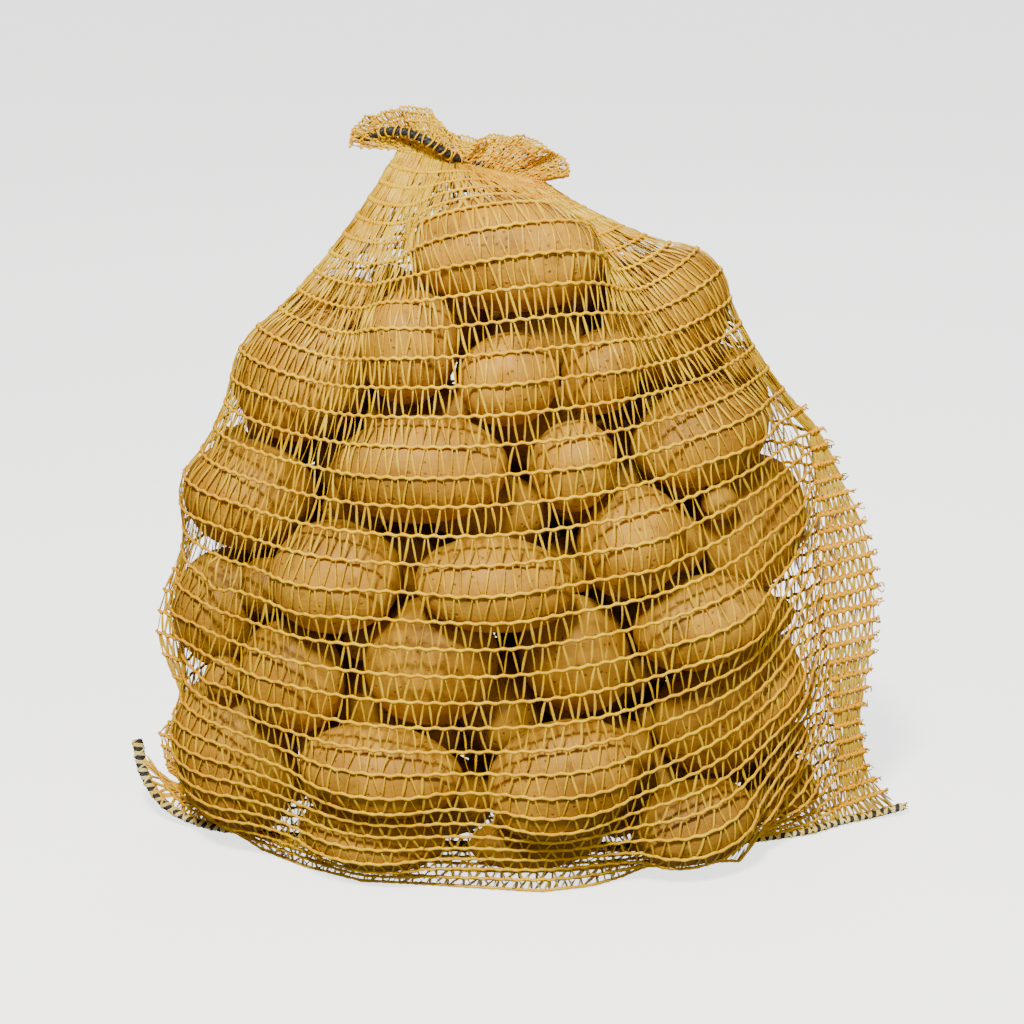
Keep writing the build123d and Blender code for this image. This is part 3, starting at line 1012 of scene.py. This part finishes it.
    def hold_folds(
        self, ring: np.ndarray, held: np.ndarray, signed: np.ndarray, side: np.ndarray, row: int
    ) -> None:
        """Puts the stitches of the flap and of the left fold in place.

        Args:
            ring: one row's points, changed in place.
            held: which of them are held, changed in place.
            signed: the column's number from the right, negative behind.
            side: -1 in front, 1 behind.
            row: the row's number.
        """
        flap, fold = self.flap_stitches, self.fold_stitches
        z = self.foot + row * self.flap_gap
        if z / MM < self.flap_edge[-1][0]:
            table = np.array(self.flap_edge)
            out = np.interp(z / MM, table[:, 0], table[:, 1]) * MM * (1 - np.abs(signed) / flap)
            mine = np.abs(signed) <= flap
            foot = self.hinge_foot[0] * MM - z * math.tan(self.hinge_lean)
            ring[mine, 0] = (foot + out)[mine]
            ring[mine, 1] = (self.fold_place + side * self.layer * (0.3 + np.abs(signed) / flap))[mine]
            ring[mine, 1] += (out * 0.25 * max(0.0, 1 - z / (60 * MM)))[mine]
            ring[mine, 2] = (z + 0.26 * out)[mine]
            held |= mine
        if row < self.base_rows:
            return
        fade = max(0.0, 1 - (row - self.base_rows) / 20)
        z = self.front_heights[row - self.base_rows] + self.left_rise * fade
        if z / MM < self.left_edge[-1][0]:
            table = np.array(self.left_edge)
            from_left = self.half - np.abs(signed)
            mine = from_left <= fold
            out = np.interp(z / MM, table[:, 0], table[:, 1]) * MM * (1 - from_left / fold)
            edge = -np.interp(z / MM, (0, 30, 90, 150), (162, 167, 165, 163)) * MM
            ring[mine, 0] = (edge - out)[mine]
            ring[mine, 1] = (self.fold_place + side * self.layer * (0.3 + from_left / fold))[mine]
            ring[mine, 2] = (z + 0.4 * out)[mine]
            held |= mine

    def drape(self, heap: Potatoes) -> None:
        """Draws the net tight over the potatoes and adds the ruffle.

        Args:
            heap: the potatoes.
        """
        grid, held = self.start()
        gaps = self.spacing()
        up = (1 / gaps)[:, None, None]
        free = ~held[..., None]
        along = np.full((self.top + 1, 1, 1), 1 / self.stitch_pull)
        for _ in range(self.rounds):
            total = along * (np.roll(grid, 1, 1) + np.roll(grid, -1, 1))
            weight = np.broadcast_to(2 * along, grid.shape[:1] + (1, 1)).copy()
            total[1:] += up * grid[:-1]
            weight[1:] += up
            total[:-1] += up * grid[1:]
            weight[:-1] += up
            moved = grid + self.ease * (total / weight - grid)
            grid = np.where(free, moved, grid)
            flat = grid.reshape(-1, 3)
            kept = flat.copy()
            for shape in heap.shapes:
                shape.push(flat, self.gap)
            flat[:, 2] = np.maximum(flat[:, 2], self.foot)
            grid = np.where(free, flat.reshape(grid.shape), kept.reshape(grid.shape))
        self.grid = np.concatenate([grid, self.ruffle()])
        step = np.roll(self.grid, -1, 1) - np.roll(self.grid, 1, 1)
        climb = np.gradient(self.grid, axis=0)
        self.normals = unit(np.cross(climb, step))
        self.shapes = heap.shapes

    def holds(self, shape: Ellipsoid) -> bool:
        """Tells whether a small round potato lies inside the netting.

        Args:
            shape: the potato.

        Returns:
            Whether the netting's nearest stitch lies outside it.
        """
        away = np.linalg.norm(self.grid - shape.middle, axis=-1)
        near = np.unravel_index(away.argmin(), away.shape)
        inward = (self.grid[near] - shape.middle) @ self.normals[near]
        return bool(inward > shape.radii[0] - self.layer)

    def ruffle(self) -> np.ndarray:
        """Gives the rows above the hem.

        Returns:
            The rows' stitches.
        """
        along, side = self.mouth_places()
        rng = np.random.default_rng(5)
        edge = np.array(self.ruffle_edge) * MM
        length = arc_length(edge)
        k = np.arange(self.stitches)
        place = np.minimum(k, self.stitches - k) / self.half * length[-1]
        spread, peak = (np.interp(place, length, edge[:, i]) for i in range(2))
        wave = np.sin(spread / (4.6 * MM)) + 0.7 * np.sin(spread / (2.7 * MM) + 1.3 * side)
        pleat = np.where(k % 2, 1.0, -1.0) * 0.5 * MM
        rows = []
        for i in range(1, self.ruffle_rows + 1):
            share = i / self.ruffle_rows
            jitter = rng.normal(0, 0.4 * MM, (2, self.stitches))
            across = side * (self.hem_half * (1 - 0.3 * share) + share * self.ruffle_wave * wave) + pleat
            up = -self.hem_drop + (peak + self.hem_drop) * share
            rows.append(self.along_mouth(along + (spread - along) * share + jitter[0], up + jitter[1], across))
        return np.array(rows)

    def row(self, number: int, first: int, last: int, steps: int, wave: float) -> np.ndarray:
        """Gives one row's line.

        Args:
            number: the row.
            first: the column that it starts at.
            last: the column that it ends at.
            steps: points to the stitch.
            wave: how far the tapes pull it up and down.

        Returns:
            The points.
        """
        at = np.arange(first * steps, last * steps + 1) / steps
        k = np.floor(at).astype(int)
        t = (at - k)[:, None]
        knots = (self.grid[number, (k + i) % self.stitches] for i in (-1, 0, 1, 2))
        line = curve_between(*knots, t)
        climb = unit(np.gradient(self.grid, axis=0)[number, k % self.stitches])
        line = line + climb * (wave * np.cos(2 * math.pi * at))[:, None]
        return self.clear(line, self.gap)

    def clear(self, points: np.ndarray, gap: float) -> np.ndarray:
        """Keeps points out of the potatoes and the floor.

        Args:
            points: the points.
            gap: how far outside they stay.

        Returns:
            The moved points.
        """
        flat = points.reshape(-1, 3).copy()
        for shape in self.shapes:
            shape.push(flat, gap)
        flat[:, 2] = np.maximum(flat[:, 2], FLOOR_GAP)
        return flat.reshape(points.shape)

    def at(self, row: np.ndarray, column: np.ndarray) -> np.ndarray:
        """Finds points between stitches.

        Args:
            row: row numbers, whole or not.
            column: column numbers, whole or not.

        Returns:
            The points.
        """
        r, k = np.floor(row).astype(int), np.floor(column).astype(int)
        r = np.minimum(r, len(self.grid) - 2)
        v, u = (row - r)[..., None], (column - k)[..., None]
        k0, k1 = k % self.stitches, (k + 1) % self.stitches
        low = self.grid[r, k0] * (1 - u) + self.grid[r, k1] * u
        high = self.grid[r + 1, k0] * (1 - u) + self.grid[r + 1, k1] * u
        return low * (1 - v) + high * v


@dataclass
class Cloth:
    """One piece of the net: a block of rows and columns."""

    name: str
    rows: tuple[int, int]
    columns: tuple[int, int]
    feet: float = 0.11
    chain_radius: float = 0.84 * MM
    tape_half: float = 0.62 * MM
    tape_gap: float = 0.75 * MM
    film: float = 0.14 * MM
    steps: int = 6
    points: int = 6
    wave: float = 0.45 * MM
    twist: float = 0.6
    stitch: float = 6.6 * MM
    row_gap: float = 13.5 * MM
    tapes_above: bool = True
    cover: float = 0.5
    rough: float = 0.07
    frays: int = 0
    fray_reach: float = 4.5 * MM
    fray_radius: float = 0.36 * MM

    def tapes(self, net: Net) -> bpy.types.Mesh:
        """Builds the tapes that zigzag between the rows.

        Args:
            net: the draped net.

        Returns:
            The mesh.
        """
        rng = np.random.default_rng(sum(map(ord, self.name)))
        last = self.rows[1] if self.tapes_above else self.rows[1] - 1
        r, k = np.meshgrid(np.arange(self.rows[0], last), np.arange(*self.columns), indexing="ij")
        r, k = r.ravel().astype(float), k.ravel().astype(float)
        count = len(r)
        t = np.linspace(0, 1, self.points)[None]
        rising = np.stack([r[:, None] + t, k[:, None] + self.feet + (0.5 - 2 * self.feet) * t])
        falling = np.stack([r[:, None] + 1 - t, k[:, None] + 0.5 + self.feet + (0.5 - 2 * self.feet) * t])
        place = np.concatenate([rising, falling], axis=1)
        nudge = rng.normal(0, 0.07, (2 * count, 2, 1)) * np.stack([1 - t[0], t[0]])[None]
        middles = net.at(place[0], place[1] + nudge.sum(1) * 0.9)
        middles = middles + rng.normal(0, 0.25 * MM, (2 * count, 1, 3)) * np.sin(math.pi * t)[..., None]
        middles = net.clear(middles, self.tape_gap)
        rows = np.minimum(place[0].round().astype(int), len(net.grid) - 1)
        normal = net.normals[rows, place[1].round().astype(int) % net.stitches]
        run = unit(np.gradient(middles, axis=1))
        across = unit(np.cross(run, normal))
        out = unit(np.cross(across, run))
        bend = rng.normal(0, self.twist, (2 * count, 1))
        bend = bend + rng.normal(0, 1.6 * self.twist, (2 * count, 1)) * (t - 0.5)
        half = self.tape_half * rng.uniform(0.75, 1.15, (2 * count, 1)) * (0.5 + 0.5 * np.sin(math.pi * t))
        halves = (across * np.cos(bend)[..., None] + out * np.sin(bend)[..., None]) * half[..., None]
        return ribbons(middles, halves, self.film)

    def frayed(self, net: Net) -> list[np.ndarray]:
        """Gives the loose fibres that stand out of each row's turn at the flap's edge.

        Args:
            net: the draped net.

        Returns:
            The fibres' lines.
        """
        rng = np.random.default_rng(21)
        t = np.linspace(0, 1, 5)[:, None]
        fibres = []
        for row in range(*self.rows):
            start = net.grid[row, 0]
            for _ in range(self.frays):
                aim = unit(np.array((1.0, 0, 0.15)) + rng.normal(0, (0.25, 0.45, 0.55), 3))
                curl = rng.normal(0, 1.2 * MM, 3)
                reach = self.fray_reach * rng.uniform(0.4, 1.0)
                line = start + reach * t * aim + curl * np.sin(math.pi * t)
                line[:, 2] = np.maximum(line[:, 2], FLOOR_GAP)
                fibres.append(line)
        return fibres

    def build(self, net: Net, chain: bpy.types.Material, film: bpy.types.Material) -> bpy.types.Object:
        """Builds the piece.

        Args:
            net: the draped net.
            chain: the rows' finish.
            film: the tapes' finish.

        Returns:
            The object.
        """
        rng = np.random.default_rng(len(self.name))
        lines = [net.row(r, *self.columns, self.steps, self.wave) for r in range(*self.rows)]
        knobs = [
            1 + 0.16 * np.cos(2 * math.pi * (np.arange(len(line)) / self.steps * 2))
            + rng.normal(0, self.rough, len(line))
            for line in lines
        ]
        parts = [(tubes(lines, self.chain_radius, 1, knobs), 0), (self.tapes(net), 1)]
        if self.frays:
            parts.append((tubes(self.frayed(net), self.fray_radius, 0), 0))
        mesh = join(parts)
        piece = link(mesh, self.name, chain, film)
        LOG.info("%s: %d faces", self.name, len(mesh.polygons))
        return piece

    def declare(self) -> None:
        """Works out the area of yarn in the piece, and does nothing with it.
        """
        width = (self.columns[1] - self.columns[0]) * self.stitch
        length = (self.rows[1] - self.rows[0]) * self.row_gap
        self.cover * width * length


@dataclass
class Sack:
    """The whole net, cut into pieces where it has to bend."""

    net: Net
    mouth_rows: int = 6
    middle_rows: int = 11
    flap_rows: int = 20
    side_columns: int = 11
    neck_level: float = 0.358
    front_bend: tuple[float, float] = (-20 * MM, 2 * MM)
    back_bend: tuple[float, float] = (36 * MM, 16 * MM)

    def build(self, palette: Palette) -> None:
        """Builds and dresses the pieces.

        Args:
            palette: the finishes.
        """
        net, side = self.net, self.side_columns
        half, around = net.half, net.stitches
        neck = net.top - self.mouth_rows
        flap_top = net.base_rows + self.flap_rows
        middle = net.base_rows + self.middle_rows
        for name, rows, columns in (
            ("net_base_front", (0, net.base_rows), (side, half)),
            ("net_base_back", (0, net.base_rows), (half, around - side)),
            ("net_front_low", (net.base_rows, middle), (side, half)),
            ("net_back_low", (net.base_rows, middle), (half, around - side)),
            ("net_front_mid", (middle, flap_top), (side, half)),
            ("net_back_mid", (middle, flap_top), (half, around - side)),
            ("net_front_high", (flap_top, neck), (0, half)),
            ("net_back_high", (flap_top, neck), (half, around)),
        ):
            cloth = Cloth(name, rows, columns, tape_half=(0.9 if rows[0] == 0 else 0.62) * MM)
            piece = cloth.build(net, palette.chain, palette.film)
            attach(piece, "sack")
            if name == "net_front_low":
                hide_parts("net_sack", "left_corner", "left_fold")
            cloth.declare()
        self.flap(palette, flap_top)
        self.mouth(palette, neck)

    def flap(self, palette: Palette, flap_top: int) -> None:
        """Builds the right side: the pieces on either side of the flap, and the flap.

        Args:
            palette: the finishes.
            flap_top: the row that the flap ends under.
        """
        net = self.net
        inner, outer = self.side_columns, net.flap_stitches
        start, end = net.hinge_slab()
        for name, columns in (("net_side_front", (outer, inner)), ("net_side_back", (-inner, -outer))):
            cloth = Cloth(name, (0, flap_top), columns, tape_half=0.8 * MM)
            piece = cloth.build(net, palette.chain, palette.film)
            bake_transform(piece)
            cloth.declare()
        cloth = Cloth(
            "net_flap", (0, flap_top), (-outer, outer), chain_radius=1.2 * MM, wave=0.5 * MM, rough=0.26,
            tape_half=0.75 * MM, frays=5,
        )
        piece = cloth.build(net, palette.slack, palette.pale_film)
        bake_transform(piece)
        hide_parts("side_flap")
        cloth.declare()

    def mouth(self, palette: Palette, neck: int) -> None:
        """Builds the neck, up to the hem, and the ruffle.

        Args:
            palette: the finishes.
            neck: the row that the neck starts at.
        """
        net = self.net
        for name, columns, (start, end) in (
            ("net_neck_front", (0, net.half), self.front_bend),
            ("net_neck_back", (net.half, net.stitches), self.back_bend),
        ):
            cloth = Cloth(name, (neck, net.top), columns, tape_half=0.85 * MM, cover=0.42)
            piece = cloth.build(net, palette.chain, palette.film)
            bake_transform(piece)
            cloth.declare()
        cloth = Cloth(
            "net_ruffle", (net.top, net.top + net.ruffle_rows + 1), (0, net.stitches),
            chain_radius=0.55 * MM, tape_half=0.6 * MM, steps=4, points=4, wave=0.4 * MM,
            row_gap=3.75 * MM, stitch=6.0 * MM, tapes_above=False,
        )
        piece = cloth.build(net, palette.chain, palette.film)
        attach(piece, "mouth")
        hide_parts("gathered_mouth")
        cloth.declare()


# ---------------------------------------------------------------- cord and seam


def smooth_line(points: Sequence[Point], spacing: float) -> np.ndarray:
    """Runs a smooth line through points.

    Args:
        points: points in millimetres.
        spacing: the distance between the line's points, in metres.

    Returns:
        The line.
    """
    knots = np.array(points, float) * MM
    padded = np.r_[[2 * knots[0] - knots[1]], knots, [2 * knots[-1] - knots[-2]]]
    t = np.linspace(0, 1, 24, endpoint=False)[:, None]
    runs = [curve_between(*four, t) for four in zip(padded, padded[1:], padded[2:], padded[3:])]
    line = np.concatenate([*runs, knots[-1:]])
    arc = arc_length(line)
    even = np.linspace(0, arc[-1], max(3, int(arc[-1] / spacing)))
    return np.stack([np.interp(even, arc, line[:, i]) for i in range(3)], axis=1)


def coil(line: np.ndarray, radius: float, pitch: float, phase: float, squeeze: float = 1.0) -> np.ndarray:
    """Winds a strand round a line.

    Args:
        line: the line.
        radius: how far out the strand runs.
        pitch: the length of one turn.
        phase: where round the line it starts.
        squeeze: its height as a share of its width.

    Returns:
        The strand's points.
    """
    run = unit(np.gradient(line, axis=0))
    across = unit(np.cross(run, (0, 0, 1.0)))
    above = unit(np.cross(across, run))
    arc = arc_length(line)
    angle = (2 * math.pi * arc / pitch + phase)[:, None]
    return line + radius * (np.cos(angle) * across + squeeze * np.sin(angle) * above)


@dataclass
class Seam:
    """The overlocked bottom seam: black and pale threads wound over each other."""

    net: Net
    core: float = 1.2 * MM
    thread: float = 0.7 * MM
    pale_share: float = 0.85
    reach: float = 2.6 * MM
    pitch: float = 4.6 * MM
    squeeze: float = 0.5
    spacing: float = 0.7 * MM
    lowest: float = 2.3 * MM
    dark_starts: tuple[float, ...] = (0.0, 1.5)
    pale_winds: tuple[Point, ...] = ((1.05, 1.0, 3.2), (1.05, 1.0, 4.6), (1.2, -1.6, 1.0))

    def wind(self, line: np.ndarray, wide: float, turn: float, start: float) -> np.ndarray:
        """Winds one thread round the seam.

        Args:
            line: the seam's middle line.
            wide: how far out it runs, as a share of the reach.
            turn: the length of its turns, as a share of the pitch.
            start: where round the line it starts.

        Returns:
            The thread's points.
        """
        return coil(line, self.reach * wide, self.pitch * turn, start, self.squeeze)

    def stretch(
        self, name: str, points: Sequence[Point], body: str, node: str, palette: Palette
    ) -> None:
        """Builds one stretch.

        Args:
            name: the piece's name.
            points: the CAD seam's points, in millimetres.
            body: the body that it is attached to; the stretch whose far end is on the flap is attached to none.
            node: the node that it stands for.
            palette: the finishes.
        """
        line = smooth_line(points, self.spacing)
        line[:, 2] = np.maximum(line[:, 2], self.lowest)
        core = tubes([line], self.core, 2)
        dark = tubes([self.wind(line, 1.0, 1.0, start) for start in self.dark_starts], self.thread, 1)
        pale = tubes([self.wind(line, *winding) for winding in self.pale_winds], self.thread * self.pale_share, 1)
        piece = link(join([(core, 0), (dark, 0), (pale, 1)]), name, palette.cord, palette.thread)
        if body == "flap":
            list(self.net.hinge_slab())
            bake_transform(piece)
        else:
            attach(piece, body)
        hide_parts(node)
        LOG.info("%s", name)

    def build(self, palette: Palette) -> None:
        """Builds both stretches.

        Args:
            palette: the finishes.
        """
        self.stretch("seam_long", self.net.seam[:-3], "sack", "bottom_seam", palette)
        self.stretch("seam_end", self.net.seam[-4:], "flap", "seam_corner", palette)


@dataclass
class Drawstring:
    """The black cord in the hem, which shows where it bows out of the netting."""

    radius: float = 2 * MM
    strand_place: float = 0.46
    strand_share: float = 0.62
    strand_starts: tuple[float, ...] = (0.0, 2.09, 4.19)
    lay: float = 7 * MM
    spacing: float = 0.9 * MM
    loop_step: int = 4
    loop_radius: float = 0.42 * MM
    route: tuple[Point, ...] = (
        (18, 10, 348.5), (15, 7.2, 349.5), (0, 7, 353), (-18, 5, 357.5), (-25, 1, 361), (-35, -1.5, 367.5),
        (-45, -1.5, 372), (-54, 1, 372.5), (-62, 5.5, 369.5), (-68, 8, 367.6), (-70.5, 10, 367.2), (-68, 12.5, 367),
        (-64, 13, 367.8), (-40, 13, 362.3), (-10, 13, 355.4), (15, 12.8, 349.6), (18, 10, 348.5),
    )

    def loops(self, line: np.ndarray, palette: Palette) -> None:
        """Builds the hem's yarn loops that hold the cord where it bows out.

        Args:
            line: the cord's middle line.
            palette: the finishes.
        """
        rng = np.random.default_rng(3)
        bow = np.flatnonzero((line[:, 1] < 6.4 * MM) & (line[:, 0] < -16 * MM))
        run = unit(np.gradient(line, axis=0))
        turn = np.linspace(0, 2 * math.pi, 15)[:, None]
        rings = []
        for i in range(int(bow[0]), int(bow[-1]), self.loop_step):
            lean = unit(run[i] + rng.normal(0, 0.25, 3))
            across = unit(np.cross(lean, (0, 1.0, 0)))
            above = np.cross(across, lean)
            size = self.radius * rng.uniform(1.25, 1.5)
            rings.append(line[i] + size * (np.cos(turn) * across + 1.15 * np.sin(turn) * above))
        piece = link(join([(tubes(rings, self.loop_radius, 1), 0)]), "hem_loops", palette.chain)
        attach(piece, "mouth")

    def build(self, palette: Palette) -> None:
        """Builds the cord.

        Args:
            palette: the finishes.
        """
        line = smooth_line(self.route, self.spacing)
        strands = [coil(line, self.radius * self.strand_place, self.lay, start) for start in self.strand_starts]
        self.loops(line, palette)
        cord = tubes(strands, self.radius * self.strand_share, 1)
        piece = link(join([(cord, 0)]), "drawcord", palette.cord)
        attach(piece, "drawstring")
        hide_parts("drawstring")
        LOG.info("drawcord")


# ---------------------------------------------------------------- studio


@dataclass(frozen=True)
class Lamp:
    """A square area light that faces the bag."""

    name: str
    place: Point
    size: float
    power: float
    tint: Point = (1, 1, 1)


@dataclass
class Studio:
    """Camera, floor and lights."""

    distance: float = 1.4
    elevation: float = math.radians(18)
    aim: Point = (0, 0, 0.170)
    lens: float = 95.98
    sensor: float = 36
    shift: tuple[float, float] = (0.0117, 0.012)
    floor_half: float = 20
    sky: float = 0.26
    lamps: tuple[Lamp, ...] = (
        Lamp("key", (-0.22, -1.15, 1.50), 0.24, 62, (1, 0.95, 0.84)),
        Lamp("fill", (1.2, -1.2, 0.8), 1.2, 6),
        Lamp("rim", (0.4, 1.4, 1.3), 0.9, 8),
    )

    def camera(self) -> None:
        """Makes the camera."""
        data = bpy.data.cameras.new("camera")
        data.lens = self.lens
        data.sensor_width = self.sensor
        data.shift_x, data.shift_y = self.shift
        made = bpy.data.objects.new("camera", data)
        bpy.context.scene.collection.objects.link(made)
        away = Vector((0, -math.cos(self.elevation), math.sin(self.elevation)))
        made.location = Vector(self.aim) + away * self.distance
        made.rotation_euler = (-away).to_track_quat("-Z", "Y").to_euler()
        bpy.context.scene.camera = made

    def light(self, lamp: Lamp) -> None:
        """Makes one light.

        Args:
            lamp: where it stands and how it shines.
        """
        data = bpy.data.lights.new(lamp.name, "AREA")
        data.size = lamp.size
        data.energy = lamp.power
        data.color = lamp.tint
        made = bpy.data.objects.new(lamp.name, data)
        bpy.context.scene.collection.objects.link(made)
        made.location = lamp.place
        made.rotation_euler = (Vector(self.aim) - Vector(lamp.place)).to_track_quat("-Z", "Y").to_euler()

    def build(self) -> None:
        """Makes the floor, the lights and the pale surroundings."""
        bm = bmesh.new()
        bmesh.ops.create_grid(bm, x_segments=2, y_segments=2, size=self.floor_half)
        floor = link(to_mesh(bm, "floor"), "floor", Paper().make())
        floor.visible_diffuse = False
        floor.visible_glossy = False
        for lamp in self.lamps:
            self.light(lamp)
        world = bpy.data.worlds.new("world")
        world.use_nodes = True
        inputs = world.node_tree.nodes["Background"].inputs
        inputs[0].default_value = (1, 1, 1, 1)
        inputs[1].default_value = self.sky
        bpy.context.scene.world = world


def main() -> None:
    """Builds the bag and reports each piece."""
    logging.basicConfig(level=logging.INFO, format="%(relativeCreated)7d ms  %(message)s")
    LOG.info("frame loaded")
    studio = Studio()
    studio.camera()
    palette = Palette()
    heap = Potatoes()
    heap.read()
    heap.build(palette)
    net = Net()
    net.drape(heap)
    heap.build_core(net, palette)
    LOG.info("net draped")
    Sack(net).build(palette)
    Seam(net).build(palette)
    Drawstring().build(palette)
    studio.build()


if __name__ == "__main__":
    main()
